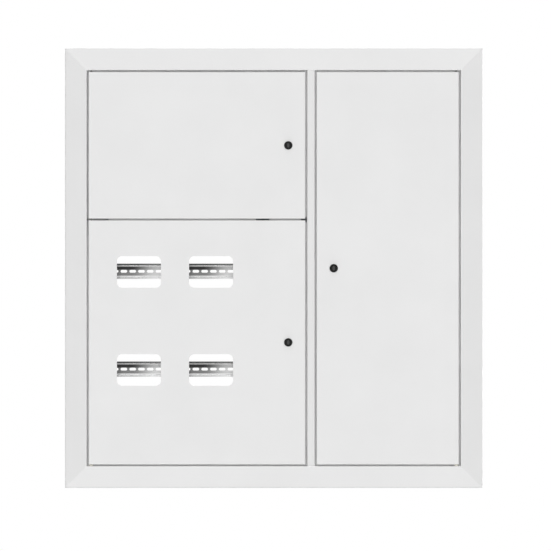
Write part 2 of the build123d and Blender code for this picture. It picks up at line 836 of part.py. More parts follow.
# Every piece by the name of its file
pieces = {
    "front_frame": front_frame(),
    "left_wall": left_wall(),
    "right_wall": right_wall(),
    "top_wall": top_wall(),
    "bottom_wall": mirror(top_wall(), about=Plane.XY),
    "top_entry_plate": top_entry_plate(),
    "bottom_entry_plate": mirror(top_entry_plate(), about=Plane.XY),
    "centre_post": centre_post(),
    "partition_panel": partition_panel(),
    "divider_rail": divider_rail(),
    "pivot_bracket": pivot_bracket(),
    "top_pivot_pins": [frame_pin(door, 1) for door in (upper_left, right)],
    "bottom_pivot_pins": [frame_pin(door, -1) for door in (lower_left, right)],
    "pivot_washers": [pivot_washer(door) for door in (lower_left, right)],
    "middle_pivot_pin": middle_pin(),
    "rail_screws": rail_screws(),
    "neutral_bar": terminal_bar(neutral_z, insulator_length),
    "neutral_insulators": [insulator(x) for x in bar_ends()],
    "neutral_screws": terminal_screws(neutral_z, insulator_length),
    "earth_bar": terminal_bar(earth_z, spacer_length),
    "earth_bar_spacers": [bar_spacer(x) for x in bar_ends()],
    "earth_screws": terminal_screws(earth_z, spacer_length),
    "bar_fixings": bar_fixings(),
    "sheet_screws": sheet_screws(),
    "meter_panel": meter_panel(),
    "meter_panel_screws": meter_panel_screws(),
    "earth_stud": earth_stud(),
    "earth_stud_washer": earth_washer(),
    "earth_stud_nut": earth_nut(),
}
for name, place in upright_places.items():
    pieces[f"{name}_rail_upright"] = rail_upright(place)
for row_name, row in zip(("upper", "lower"), window_rows):
    for column_name, column in zip(("left", "right"), window_columns):
        pieces[f"{row_name}_{column_name}_din_rail"] = din_rail(column, row)
for name, z in strap_places.items():
    pieces[f"{name}_comms_strap"] = comms_strap(z)
for door in doors:
    leaf = windowed_leaf(door) if door is lower_left else door_leaf(door)
    pieces[f"{door.name}_door"] = leaf
    pieces[f"{door.name}_door_stud"] = door_stud(door)
    pieces[f"{door.name}_lock_housing"] = lock_housing(door)
    pieces[f"{door.name}_lock_nut"] = lock_nut(door)
    pieces[f"{door.name}_lock_core"] = lock_core(door)
    pieces[f"{door.name}_lock_cam"] = lock_cam(door)
    pieces[f"{door.name}_cam_screw"] = cam_screw(door)

os.makedirs("parts", exist_ok=True)
for name, shape in pieces.items():
    group = shape if isinstance(shape, list) else [shape]
    solids = [solid for piece in group for solid in piece.solids()]
    export_step(Compound(children=solids), f"parts/{name}.step")
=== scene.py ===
import json
import math

import bmesh
import bpy
from mathutils import Matrix, Vector


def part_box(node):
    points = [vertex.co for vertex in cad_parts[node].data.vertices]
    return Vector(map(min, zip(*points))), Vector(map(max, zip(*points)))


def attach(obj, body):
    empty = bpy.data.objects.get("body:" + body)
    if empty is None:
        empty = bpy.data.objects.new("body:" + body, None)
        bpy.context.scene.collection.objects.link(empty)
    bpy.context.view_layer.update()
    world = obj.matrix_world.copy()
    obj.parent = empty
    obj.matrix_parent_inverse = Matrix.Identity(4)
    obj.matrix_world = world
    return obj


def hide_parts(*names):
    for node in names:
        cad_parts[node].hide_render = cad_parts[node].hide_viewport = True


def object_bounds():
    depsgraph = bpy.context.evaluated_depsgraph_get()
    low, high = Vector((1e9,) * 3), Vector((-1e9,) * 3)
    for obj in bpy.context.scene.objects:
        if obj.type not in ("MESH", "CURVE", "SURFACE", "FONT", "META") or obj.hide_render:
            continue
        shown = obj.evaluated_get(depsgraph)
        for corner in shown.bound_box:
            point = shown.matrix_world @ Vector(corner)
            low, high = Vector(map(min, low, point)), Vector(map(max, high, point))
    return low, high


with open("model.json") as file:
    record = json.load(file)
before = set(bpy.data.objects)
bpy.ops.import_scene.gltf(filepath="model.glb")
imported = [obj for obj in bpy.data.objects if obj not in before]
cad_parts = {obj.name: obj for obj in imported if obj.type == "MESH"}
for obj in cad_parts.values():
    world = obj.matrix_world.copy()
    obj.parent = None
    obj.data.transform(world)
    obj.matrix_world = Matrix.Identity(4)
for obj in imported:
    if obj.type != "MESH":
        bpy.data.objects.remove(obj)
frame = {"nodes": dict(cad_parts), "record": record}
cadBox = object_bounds()
nodes = frame["nodes"]
scene = bpy.context.scene
scene.view_settings.view_transform = "Standard"
doorNames = ["upper_left", "lower_left", "right"]


# Node helpers
def feed(tree, socket, value):
    if isinstance(value, bpy.types.NodeSocket):
        tree.links.new(value, socket)
    else:
        socket.default_value = value


def mathOf(tree, operation, *values):
    node = tree.nodes.new("ShaderNodeMath")
    node.operation = operation
    for socket, value in zip(node.inputs, values):
        feed(tree, socket, value)
    return node.outputs[0]


def mixOf(tree, factor, first, second, blend="MIX"):
    node = tree.nodes.new("ShaderNodeMix")
    node.data_type = "RGBA"
    node.blend_type = blend
    feed(tree, node.inputs[0], factor)  # sockets 6 and 7 in and 2 out are the colours
    feed(tree, node.inputs[6], first)
    feed(tree, node.inputs[7], second)
    return node.outputs[2]


def spreadOf(tree, value, fromLow, fromHigh, toLow, toHigh, smooth=False):
    node = tree.nodes.new("ShaderNodeMapRange")
    node.interpolation_type = "SMOOTHSTEP" if smooth else "LINEAR"
    for socket, entry in zip(node.inputs, (value, fromLow, fromHigh, toLow, toHigh)):
        feed(tree, socket, entry)
    return node.outputs[0]


def noiseOf(tree, vector, scale, detail=2.0, roughness=0.5):
    node = tree.nodes.new("ShaderNodeTexNoise")
    feed(tree, node.inputs["Vector"], vector)
    feed(tree, node.inputs["Scale"], scale)
    node.inputs["Detail"].default_value = detail
    node.inputs["Roughness"].default_value = roughness
    return node.outputs[0]


def stretchOf(tree, vector, scale):
    node = tree.nodes.new("ShaderNodeMapping")
    feed(tree, node.inputs["Vector"], vector)
    feed(tree, node.inputs["Scale"], scale)
    return node.outputs[0]


def axesOf(tree, vector):
    node = tree.nodes.new("ShaderNodeSeparateXYZ")
    feed(tree, node.inputs[0], vector)
    return node.outputs


def objectCoords(tree):
    return tree.nodes.new("ShaderNodeTexCoord").outputs["Object"]


def bumpInto(tree, shader, height, distance, strength):
    node = tree.nodes.new("ShaderNodeBump")
    feed(tree, node.inputs["Height"], height)
    node.inputs["Distance"].default_value = distance
    node.inputs["Strength"].default_value = strength
    tree.links.new(node.outputs["Normal"], shader.inputs["Normal"])


def linear(level):
    share = level / 255
    return share / 12.92 if share <= 0.04045 else ((share + 0.055) / 1.055) ** 2.4


def tone(red, green=None, blue=None):
    green = red if green is None else green
    blue = red if blue is None else blue
    return (linear(red), linear(green), linear(blue), 1.0)


def startMaterial(name, metallic=0.0, specular=0.5):
    material = bpy.data.materials.new(name)
    material.use_nodes = True
    tree = material.node_tree
    shader = tree.nodes["Principled BSDF"]
    shader.inputs["Metallic"].default_value = metallic
    shader.inputs["Specular IOR Level"].default_value = specular
    return material, tree, shader


def startGroup(name, inputs, outputs):
    group = bpy.data.node_groups.new(name, "ShaderNodeTree")
    for label, kind, value in inputs:
        socket = group.interface.new_socket(label, in_out="INPUT", socket_type=kind)
        if value is not None:
            socket.default_value = value
    for label, kind in outputs:
        group.interface.new_socket(label, in_out="OUTPUT", socket_type=kind)
    return group, group.nodes.new("NodeGroupInput").outputs, group.nodes.new("NodeGroupOutput").inputs


def placeGroup(tree, group, **values):
    node = tree.nodes.new("ShaderNodeGroup")
    node.node_tree = group
    for label, value in values.items():
        feed(tree, node.inputs[label], value)
    return node.outputs


# Orange peel of a sprayed and baked coat
coatPattern = {"cloud": 7.0, "cloudShare": 0.8, "peelShare": 0.2, "gritTimes": 4.0, "gritHeight": 0.15,
               "range": (0.3, 0.7)}


def makeCoatGroup():
    look = coatPattern
    group, entry, result = startGroup(
        "coatTexture",
        [("Vector", "NodeSocketVector", None), ("Peel", "NodeSocketFloat", None),
         ("Cloud", "NodeSocketFloat", look["cloud"])],
        [("Tone", "NodeSocketFloat"), ("Gloss", "NodeSocketFloat"), ("Height", "NodeSocketFloat")])
    peel = noiseOf(group, entry["Vector"], entry["Peel"], detail=1.0)
    cloud = noiseOf(group, entry["Vector"], entry["Cloud"], detail=3.0)
    gritScale = mathOf(group, "MULTIPLY", entry["Peel"], look["gritTimes"])
    grit = noiseOf(group, entry["Vector"], gritScale, detail=1.0)
    peelPart = mathOf(group, "MULTIPLY", peel, look["peelShare"])
    mixed = mathOf(group, "MULTIPLY_ADD", cloud, look["cloudShare"], peelPart)
    feed(group, result["Tone"], spreadOf(group, mixed, *look["range"], 0.0, 1.0))
    feed(group, result["Gloss"], spreadOf(group, grit, *look["range"], 0.0, 1.0))
    feed(group, result["Height"], mathOf(group, "MULTIPLY_ADD", grit, look["gritHeight"], peel))
    return group


# Rolling lines and fine scratches of plated or drawn metal
grainPattern = {"patch": 45.0, "lineShare": 0.6, "patchShare": 0.4, "range": (0.3, 0.7)}


def makeGrainGroup():
    look = grainPattern
    group, entry, result = startGroup(
        "metalGrain",
        [("Vector", "NodeSocketVector", None), ("Lines", "NodeSocketVector", None),
         ("Patch", "NodeSocketFloat", look["patch"])],
        [("Tone", "NodeSocketFloat"), ("Gloss", "NodeSocketFloat"), ("Height", "NodeSocketFloat")])
    stretched = stretchOf(group, entry["Vector"], entry["Lines"])
    lines = noiseOf(group, stretched, 1.0, detail=3.0, roughness=0.6)
    patch = noiseOf(group, entry["Vector"], entry["Patch"])
    patchPart = mathOf(group, "MULTIPLY", patch, look["patchShare"])
    mixed = mathOf(group, "MULTIPLY_ADD", lines, look["lineShare"], patchPart)
    feed(group, result["Tone"], spreadOf(group, mixed, *look["range"], 0.0, 1.0))
    feed(group, result["Gloss"], spreadOf(group, patch, *look["range"], 0.0, 1.0))
    feed(group, result["Height"], lines)
    return group


# Crystal flowers of hot-dip zinc: each cell has its own shade and its own run of fine feathers
spanglePattern = {"feather": (1500.0, 160.0, 160.0), "raggedScale": 260.0, "raggedShift": 0.004,
                  "cloudScale": 14.0, "shadeShare": 0.45, "cloudShare": 0.25, "featherShare": 0.35}


def makeSpangleGroup():
    look = spanglePattern
    group, entry, result = startGroup(
        "zincSpangle",
        [("Vector", "NodeSocketVector", None), ("Size", "NodeSocketFloat", None),
         ("Feather", "NodeSocketVector", look["feather"])],
        [("Tone", "NodeSocketFloat"), ("Gloss", "NodeSocketFloat")])
    ragged = group.nodes.new("ShaderNodeTexNoise")
    feed(group, ragged.inputs["Vector"], entry["Vector"])
    ragged.inputs["Scale"].default_value = look["raggedScale"]
    shift = group.nodes.new("ShaderNodeVectorMath")
    shift.operation = "MULTIPLY_ADD"
    feed(group, shift.inputs[0], ragged.outputs["Color"])
    shift.inputs[1].default_value = [look["raggedShift"]] * 3
    feed(group, shift.inputs[2], entry["Vector"])
    cells = group.nodes.new("ShaderNodeTexVoronoi")
    feed(group, cells.inputs["Vector"], shift.outputs[0])
    feed(group, cells.inputs["Scale"], entry["Size"])
    shade = axesOf(group, cells.outputs["Color"])
    turned = group.nodes.new("ShaderNodeVectorRotate")
    turned.rotation_type = "EULER_XYZ"
    feed(group, turned.inputs["Vector"], entry["Vector"])
    spin = group.nodes.new("ShaderNodeVectorMath")
    spin.operation = "SCALE"
    feed(group, spin.inputs[0], cells.outputs["Color"])
    spin.inputs["Scale"].default_value = 2 * math.pi
    feed(group, turned.inputs["Rotation"], spin.outputs[0])
    stretched = stretchOf(group, turned.outputs[0], entry["Feather"])
    feather = noiseOf(group, stretched, 1.0, detail=3.0, roughness=0.6)
    cloud = mathOf(group, "MULTIPLY", noiseOf(group, entry["Vector"], look["cloudScale"]), look["cloudShare"])
    crystal = mathOf(group, "MULTIPLY_ADD", shade[0], look["shadeShare"], cloud)
    feed(group, result["Tone"], mathOf(group, "MULTIPLY_ADD", feather, look["featherShare"], crystal))
    feed(group, result["Gloss"], shade[1])
    return group


coatTexture = makeCoatGroup()
metalGrain = makeGrainGroup()
zincSpangle = makeSpangleGroup()

# Powder coat of the frame, box and doors, with a darker copy of the coat on the centre post as painted shade
coatLook = {"spread": 2, "roughness": (0.34, 0.50), "peel": 420.0, "bump": (0.00012, 0.7),
            "level": {"frame": 233, "box": 232, "post": 227, "door": 232}}


def coatMaterial(piece, dressing=None):
    material, tree, shader = startMaterial(piece + "Paint")
    level = coatLook["level"][piece]
    place = objectCoords(tree)
    coat = placeGroup(tree, coatTexture, Vector=place, Peel=coatLook["peel"])
    colour = mixOf(tree, coat["Tone"], tone(level - coatLook["spread"]), tone(level + coatLook["spread"]))
    height = coat["Height"]
    if dressing:
        colour, height = dressing(tree, place, colour, height)
    feed(tree, shader.inputs["Base Color"], colour)
    feed(tree, shader.inputs["Roughness"], spreadOf(tree, coat["Gloss"], 0.0, 1.0, *coatLook["roughness"]))
    bumpInto(tree, shader, height, *coatLook["bump"])
    return material


# Frame: painted shade darkens the upright members and the outer folds, most at the left and bottom,
# and a ground weld runs along each mitre
cornerLook = {"thin": 0.975, "half": 0.0003, "fade": 0.0006, "groove": 0.5, "foldReach": (0.0019, 0.0031),
              "foldThin": {"left": 0.82, "right": 0.98, "bottom": 0.86, "top": 0.99}}


def shadeFrameAndWeld(tree, place, colour, height):
    low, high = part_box("front_frame")
    axes = axesOf(tree, place)
    across = mathOf(tree, "SUBTRACT", mathOf(tree, "ABSOLUTE", axes[0]), mathOf(tree, "ABSOLUTE", axes[2]))
    offset = mathOf(tree, "ADD", across, high.z - high.x)
    # painted shade: the upright members come out darker than the top and bottom members
    uprightShading = spreadOf(tree, offset, -cornerLook["fade"], cornerLook["fade"], 1.0, cornerLook["thin"])
    colour = mixOf(tree, 1.0, colour, uprightShading, "MULTIPLY")
    sides = {"left": (axes[0], low.x), "right": (axes[0], high.x),
             "bottom": (axes[2], low.z), "top": (axes[2], high.z)}
    # painted shade on the outer folds, deepest at the left and bottom
    for side, (axis, edge) in sides.items():
        gap = mathOf(tree, "ABSOLUTE", mathOf(tree, "SUBTRACT", axis, edge))
        outer = spreadOf(tree, gap, *cornerLook["foldReach"], cornerLook["foldThin"][side], 1.0)
        colour = mixOf(tree, 1.0, colour, outer, "MULTIPLY")
    weld = spreadOf(tree, mathOf(tree, "ABSOLUTE", offset), cornerLook["half"],
                    cornerLook["half"] + cornerLook["fade"], cornerLook["groove"], 0.0)
    return colour, mathOf(tree, "SUBTRACT", height, weld)


framePaint = coatMaterial("frame", shadeFrameAndWeld)
boxPaint = coatMaterial("box")
# the centre post's coat is the box coat made darker: painted shade
postShadedPaint = coatMaterial("post")
doorPaint = coatMaterial("door")
paintOf = {"front_frame": framePaint, "centre_post": postShadedPaint}

# Galvanised sheet of the uprights, straps and meter panel
galvanisedLook = {"dark": (168, 171, 174), "light": (205, 207, 209), "roughness": (0.34, 0.52), "size": 90.0,
                  "bump": (0.00002, 0.3)}


def galvanisedMaterial(name):
    material, tree, shader = startMaterial(name, 1.0)
    place = objectCoords(tree)
    spangle = placeGroup(tree, zincSpangle, Vector=place, Size=galvanisedLook["size"])
    feed(tree, shader.inputs["Base Color"],
         mixOf(tree, spangle["Tone"], tone(*galvanisedLook["dark"]), tone(*galvanisedLook["light"])))
    gloss = spreadOf(tree, spangle["Gloss"], 0.0, 1.0, *galvanisedLook["roughness"])
    feed(tree, shader.inputs["Roughness"], gloss)
    bumpInto(tree, shader, spangle["Tone"], *galvanisedLook["bump"])
    return material


galvanised = galvanisedMaterial("galvanisedSheet")

# Bright zinc of the mounting rails, with painted reflection in bands up the profile by shares of its height:
# painted dark reflection at the left and top, painted bright reflection at the right and bottom, and a
# frosted, less metallic line along the two inner folds whose colour is a painted highlight
railLook = {
    "bands": {"lowerBrim": (0.00, 0.10), "lowerFold": (0.12, 0.18), "lowerFloor": (0.23, 0.56),
              "upperFloor": (0.64, 0.79), "upperFold": (0.85, 0.88), "upperBrim": (0.90, 1.00)},
    "dullEnd": {"lowerBrim": 200, "lowerFold": 255, "lowerFloor": 132, "upperFloor": 58, "upperFold": 235,
                "upperBrim": 80},
    "brightEnd": {"lowerBrim": 240, "lowerFold": 255, "lowerFloor": 220, "upperFloor": 192, "upperFold": 240,
                  "upperBrim": 120},
    "reach": (-0.020, 0.050), "roughness": (0.22, 0.34), "lines": (30.0, 1200.0, 1200.0), "lineShare": 0.08,
    "foldAt": 0.365, "foldHalf": (0.014, 0.034), "foldMetal": 0.15, "bump": (0.00002, 0.2)}


def reflectionBandsOf(tree, value, levels):
    ramp = tree.nodes.new("ShaderNodeValToRGB")
    feed(tree, ramp.inputs[0], value)
    points = ramp.color_ramp.elements
    stops = [(edge, levels[band]) for band, edges in railLook["bands"].items() for edge in edges]
    while len(points) < len(stops):
        points.new(0.5)
    for point, (position, level) in zip(points, stops):
        point.position = position
        point.color = tone(level)
    return ramp.outputs["Color"]


def railMaterial(name, node):
    low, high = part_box(node)
    material, tree, shader = startMaterial(name, 1.0)
    place = objectCoords(tree)
    axes = axesOf(tree, place)
    along = mathOf(tree, "SUBTRACT", axes[0], (low.x + high.x) / 2)
    upward = spreadOf(tree, axes[2], low.z, high.z, 0.0, 1.0)
    # painted reflection: each rail's bands run from dark at the left to bright at the right
    reflectionShift = spreadOf(tree, along, *railLook["reach"], 0.0, 1.0, True)
    colour = mixOf(tree, reflectionShift, reflectionBandsOf(tree, upward, railLook["dullEnd"]),
                   reflectionBandsOf(tree, upward, railLook["brightEnd"]))
    grain = placeGroup(tree, metalGrain, Vector=place, Lines=railLook["lines"])
    colour = mixOf(tree, railLook["lineShare"], colour, grain["Tone"], "SOFT_LIGHT")
    feed(tree, shader.inputs["Base Color"], colour)
    feed(tree, shader.inputs["Roughness"], spreadOf(tree, grain["Gloss"], 0.0, 1.0, *railLook["roughness"]))
    fold = mathOf(tree, "ABSOLUTE", mathOf(tree, "SUBTRACT", upward, 0.5))
    fold = mathOf(tree, "ABSOLUTE", mathOf(tree, "SUBTRACT", fold, railLook["foldAt"]))
    metal = spreadOf(tree, fold, *railLook["foldHalf"], railLook["foldMetal"], 1.0)
    feed(tree, shader.inputs["Metallic"], metal)
    bumpInto(tree, shader, grain["Height"], *railLook["bump"])
    return material


# Plain metals: plated fasteners, bare pivots, brass bars
metalLooks = {
    "zincPlate": {"dark": (150, 151, 150), "light": (198, 199, 197), "roughness": (0.25, 0.42),
                  "metallic": 1.0, "lines": (500.0, 120.0, 500.0)},
    "bareSteel": {"dark": (106, 106, 107), "light": (142, 142, 142), "roughness": (0.4, 0.6),
                  "metallic": 0.8, "lines": (120.0, 600.0, 600.0)},
    "terminalBrass": {"dark": (176, 140, 72), "light": (214, 180, 104), "roughness": (0.2, 0.36),
                      "metallic": 1.0, "lines": (30.0, 900.0, 900.0)},
}
metalBump = (0.00002, 0.25)


def metalMaterial(name):
    look = metalLooks[name]
    material, tree, shader = startMaterial(name, look["metallic"])
    place = objectCoords(tree)
    grain = placeGroup(tree, metalGrain, Vector=place, Lines=look["lines"])
    colour = mixOf(tree, grain["Tone"], tone(*look["dark"]), tone(*look["light"]))
    feed(tree, shader.inputs["Base Color"], colour)
    feed(tree, shader.inputs["Roughness"], spreadOf(tree, grain["Gloss"], 0.0, 1.0, *look["roughness"]))
    bumpInto(tree, shader, grain["Height"], *metalBump)
    return material


# Moulded plastics
plasticLooks = {
    "lockBlack": {"dark": (14, 14, 14), "light": (22, 22, 22), "roughness": (0.34, 0.5), "specular": 0.22},
    "insulatorBlue": {"dark": (38, 78, 150), "light": (50, 92, 170), "roughness": (0.24, 0.36),
                      "specular": 0.5},
    "naturalNylon": {"dark": (206, 204, 192), "light": (222, 220, 210), "roughness": (0.4, 0.55),
                     "specular": 0.4},
}
mouldSkin = {"peel": 2600.0, "cloud": 90.0, "bump": (0.00003, 0.3)}


def plasticMaterial(name):
    look = plasticLooks[name]
    material, tree, shader = startMaterial(name, specular=look["specular"])
    coat = placeGroup(tree, coatTexture, Vector=objectCoords(tree), Peel=mouldSkin["peel"],
                      Cloud=mouldSkin["cloud"])
    colour = mixOf(tree, coat["Tone"], tone(*look["dark"]), tone(*look["light"]))
    feed(tree, shader.inputs["Base Color"], colour)
    feed(tree, shader.inputs["Roughness"], spreadOf(tree, coat["Gloss"], 0.0, 1.0, *look["roughness"]))
    bumpInto(tree, shader, coat["Height"], *mouldSkin["bump"])
    return material


# Die-cast lock core: blackened, worn bright on the pin and wings that the key turns
coreLook = {"black": (20, 30), "worn": (66, 84), "reach": (0.0046, 0.0054), "narrow": 1.5,
            "roughness": (0.4, 0.55), "metallic": 0.3, "specular": 0.3, "lines": (900.0, 900.0, 300.0)}


def coreMaterial(name, node):
    low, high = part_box(node)
    material, tree, shader = startMaterial(name, coreLook["metallic"], coreLook["specular"])
    place = objectCoords(tree)
    grain = placeGroup(tree, metalGrain, Vector=place, Lines=coreLook["lines"])
    axes = axesOf(tree, place)
    across = mathOf(tree, "SUBTRACT", axes[0], (low.x + high.x) / 2)
    across = mathOf(tree, "MULTIPLY", across, coreLook["narrow"])
    upward = mathOf(tree, "SUBTRACT", axes[2], (low.z + high.z) / 2)
    away = mathOf(tree, "SQRT", mathOf(tree, "ADD", mathOf(tree, "MULTIPLY", across, across),
                                       mathOf(tree, "MULTIPLY", upward, upward)))
    black = mixOf(tree, grain["Tone"], *(tone(level) for level in coreLook["black"]))
    worn = mixOf(tree, grain["Tone"], *(tone(level) for level in coreLook["worn"]))
    feed(tree, shader.inputs["Base Color"],
         mixOf(tree, spreadOf(tree, away, *coreLook["reach"], 1.0, 0.0), black, worn))
    feed(tree, shader.inputs["Roughness"], spreadOf(tree, grain["Gloss"], 0.0, 1.0, *coreLook["roughness"]))
    bumpInto(tree, shader, grain["Height"], *metalBump)
    return material


finishes = {name: metalMaterial(name) for name in metalLooks}
finishes.update({name: plasticMaterial(name) for name in plasticLooks})
slotFinish = {"enclosure_paint": boxPaint, "door_paint": doorPaint, "zinc_sheet": galvanised,
              "zinc_hardware": finishes["zincPlate"], "dark_steel": finishes["bareSteel"],
              "nylon": finishes["naturalNylon"], "terminal_brass": finishes["terminalBrass"],
              "insulator_blue": finishes["insulatorBlue"], "lock_black": finishes["lockBlack"]}
slotOf = {row["node"]: row["material_slot"] for row in frame["record"]["subparts"]}
for node, slotName in slotOf.items():
    if slotName == "rail_zinc":
        finish = railMaterial(node + "_zinc", node)
    elif slotName == "lock_core":
        finish = coreMaterial(node + "_cast", node)
    else:
        finish = paintOf.get(node) or slotFinish[slotName]
    nodes[node].data.materials.clear()
    nodes[node].data.materials.append(finish)
print("finishes:", len(bpy.data.materials), "materials")


# Helpers for new pieces, with the distances under which points are one, or lie in one plane
near = {"point": 1e-6, "cadPoint": 2e-6, "plane": 1e-5}


def finishPiece(bm, node, body, ending, sharp=35.0):
    bmesh.ops.remove_doubles(bm, verts=bm.verts, dist=near["point"])
    bmesh.ops.recalc_face_normals(bm, faces=bm.faces)
    name = node + ending
    mesh = bpy.data.meshes.new(name)
    bm.to_mesh(mesh)
    bm.free()
    mesh.materials.append(slotFinish[slotOf[node]])
    mesh.shade_smooth()
    mesh.set_sharp_from_angle(angle=math.radians(sharp))
    piece = bpy.data.objects.new(name, mesh)
    scene.collection.objects.link(piece)
    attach(piece, body)
    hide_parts(node)


def facingMatrix(place, facing, turn=0.0):
    aimed = facing.to_track_quat("Z", "Y").to_matrix().to_4x4()
    return Matrix.Translation(place) @ aimed @ Matrix.Rotation(turn, 4, "Z")


def boundaryOf(bm):
    return [edge for edge in bm.edges if edge.is_boundary]


def vertsIn(geom):
    return [entry for entry in geom if isinstance(entry, bmesh.types.BMVert)]


# One more ring round the local Z axis: placeOf gives the radius and height for an angle
def growRing(bm, ring, placeOf):
    grown = bmesh.ops.extrude_edge_only(bm, edges=ring)["geom"]
    for vert in vertsIn(grown):
        out = vert.co.xy.normalized()
        radius, height = placeOf(math.atan2(out.y, out.x))
        vert.co = (out.x * radius, out.y * radius, height)
    return [entry for entry in grown if isinstance(entry, bmesh.types.BMEdge) and entry.is_boundary]


def growRound(bm, ring, radius, height):
    return growRing(bm, ring, lambda angle: (radius, height))


def middleOf(points):
    return Vector([(min(p[i] for p in points) + max(p[i] for p in points)) / 2 for i in range(3)])


# Loose solids of a CAD node, as lists of points
def islandsOf(node):
    bm = bmesh.new()
    bm.from_mesh(nodes[node].data)
    bmesh.ops.remove_doubles(bm, verts=bm.verts, dist=near["cadPoint"])
    islands = []
    waiting = set(bm.verts)
    while waiting:
        reached = [waiting.pop()]
        for vert in reached:
            beside = {edge.other_vert(vert) for edge in vert.link_edges} & waiting
            waiting -= beside
            reached.extend(beside)
        islands.append([vert.co.copy() for vert in reached])
    bm.free()
    return sorted(islands, key=lambda points: [round(value, 4) for value in middleOf(points)])


# Seat, facing and sizes of a headed solid: its axis has the most points in both end planes
headRim = 0.95  # share of the head's radius that only the head's rim passes


def screwSeat(points):
    def endCount(axis):
        ways = [p[axis] for p in points]
        low = min(ways) + near["plane"]
        high = max(ways) - near["plane"]
        return min(sum(way < low for way in ways), sum(way > high for way in ways))

    axis = max(range(3), key=endCount)
    middle = middleOf(points)
    facing = Vector([float(i == axis) for i in range(3)])
    half = max(p[axis] for p in points) - middle[axis]
    outs = [((p - middle).dot(facing), (p - middle).cross(facing).length) for p in points]
    ends = [max(out for way, out in outs if side * way > half - near["plane"]) for side in (1, -1)]
    if ends[1] > ends[0]:
        facing.negate()
        outs = [(-way, out) for way, out in outs]
    head = max(out for way, out in outs)
    seatWay = min(way for way, out in outs if out > headRim * head)
    return {"place": middle + facing * seatWay, "facing": facing, "head": head, "height": half - seatWay,
            "shank": min(ends), "length": half + seatWay}


# Screws: a pan head with a sunk cross or slot over a threaded shank, in shares of the head
screwLook = {"crown": [(0.80, 1.0), (0.92, 0.88), (0.99, 0.60), (1.0, 0.12), (0.97, 0.0)],
             "reach": 0.64, "corner": 0.71, "arm": 0.13, "sink": 0.62, "taper": 0.55,
             "pitch": 0.0008, "threadDepth": 0.0003, "turn": 2.4}


def shapeScrew(seat, kind, turn):
    reach = seat["head"] * screwLook["reach"]
    arm = seat["head"] * screwLook["arm"]
    height = seat["height"]
    bm = bmesh.new()
    bmesh.ops.create_grid(bm, x_segments=3, y_segments=3, size=1.0)
    for vert in bm.verts:
        outer = [abs(value) > 0.5 for value in vert.co.xy]  # the grid's lines are at 1/3 and 1
        far = reach * screwLook["corner"] if all(outer) else reach
        x, y = (math.copysign(far if isOuter else arm, value) for isOuter, value in zip(outer, vert.co.xy))
        vert.co = (x, y, height)
    sunk = []
    for face in bm.faces:
        middle = face.calc_center_median()
        if abs(middle.y) < arm / 2 or (kind == "cross" and abs(middle.x) < arm / 2):
            sunk.append(face)
    crown = [(seat["head"] * share, height * level) for share, level in screwLook["crown"]]
    growRound(bm, boundaryOf(bm), *crown[0])
    bmesh.ops.subdivide_edges(bm, edges=boundaryOf(bm), cuts=1)
    ring = boundaryOf(bm)
    for vert in {vert for edge in ring for vert in edge.verts}:
        vert.co.xy = vert.co.xy.normalized() * crown[0][0]
    floorHeight = height * (1 - screwLook["sink"])
    for vert in vertsIn(bmesh.ops.extrude_face_region(bm, geom=sunk)["geom"]):
        vert.co = (vert.co.x * screwLook["taper"], vert.co.y * screwLook["taper"], floorHeight)
    bmesh.ops.delete(bm, geom=sunk, context="FACES")
    for radius, level in crown[1:]:
        ring = growRound(bm, ring, radius, level)
    ridges = int(2 * seat["length"] / screwLook["pitch"])
    for i in range(ridges + 1):
        radius = seat["shank"] - screwLook["threadDepth"] * (i % 2)
        ring = growRound(bm, ring, radius, -i * seat["length"] / ridges)
    bmesh.ops.edgeloop_fill(bm, edges=ring)
    bmesh.ops.transform(bm, matrix=facingMatrix(seat["place"], seat["facing"], turn), verts=bm.verts)
    return bm


def makeScrews(node, body, kind):
    group = bmesh.new()
    for i, points in enumerate(islandsOf(node)):
        screw = shapeScrew(screwSeat(points), kind, i * screwLook["turn"])
        step = bpy.data.meshes.new("screwStep")
        screw.to_mesh(step)
        screw.free()
        group.from_mesh(step)
        bpy.data.meshes.remove(step)
    finishPiece(group, node, body, "_threaded")


# Weld studs: a helical thread with a cone at the tip
studLook = {"steps": 32, "tip": 0.0012, "spare": 6, "earth": {"pitch": 0.00125, "depth": 0.0006},
            "door": {"pitch": 0.001, "depth": 0.0005}}


def makeStud(node, body, kind, facing):
    low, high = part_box(node)
    axis = Vector(facing)
    length = (high - low).dot(axis)
    radius = min(high - low) / 2
    pitch = studLook[kind]["pitch"]
    depth = studLook[kind]["depth"]
    bm = bmesh.new()
    point = bm.verts.new((radius - depth, 0.0, -pitch))
    for i in range(2 * int(length / pitch) + studLook["spare"]):  # spare flanks are cut off at the ends
        height = point.co.z + pitch / 2
        point = bmesh.ops.extrude_vert_indiv(bm, verts=[point])["verts"][0]
        point.co = (radius - depth * (i % 2), 0.0, height)
    bmesh.ops.spin(bm, geom=list(bm.verts) + list(bm.edges), axis=(0, 0, 1), angle=2 * math.pi,
                   steps=studLook["steps"], dvec=(0, 0, pitch / studLook["steps"]))
    bmesh.ops.remove_doubles(bm, verts=bm.verts, dist=near["point"])
    for end, outward in ((0.0, -1.0), (length, 1.0)):
        everything = list(bm.verts) + list(bm.edges) + list(bm.faces)
        bmesh.ops.bisect_plane(bm, geom=everything, dist=near["point"] / 10, plane_co=(0, 0, end),
                               plane_no=(0, 0, outward), clear_outer=True)
    bmesh.ops.edgeloop_fill(bm, edges=boundaryOf(bm))
    for vert in bm.verts:
        limit = radius + min(0.0, length - studLook["tip"] - vert.co.z)
        if vert.co.xy.length > limit:
            vert.co.xy = vert.co.xy.normalized() * limit
    root = (low + high) / 2 - axis * length / 2
    bmesh.ops.transform(bm, matrix=facingMatrix(root, axis), verts=bm.verts)
    finishPiece(bm, node, body, "_threaded")


# Hexagon nuts with turned corners
nutLook = {"sides": 24, "turned": 0.96, "slope": 0.55, "sharp": 20.0, "lockBore": 0.00805, "studBore": 0.004}


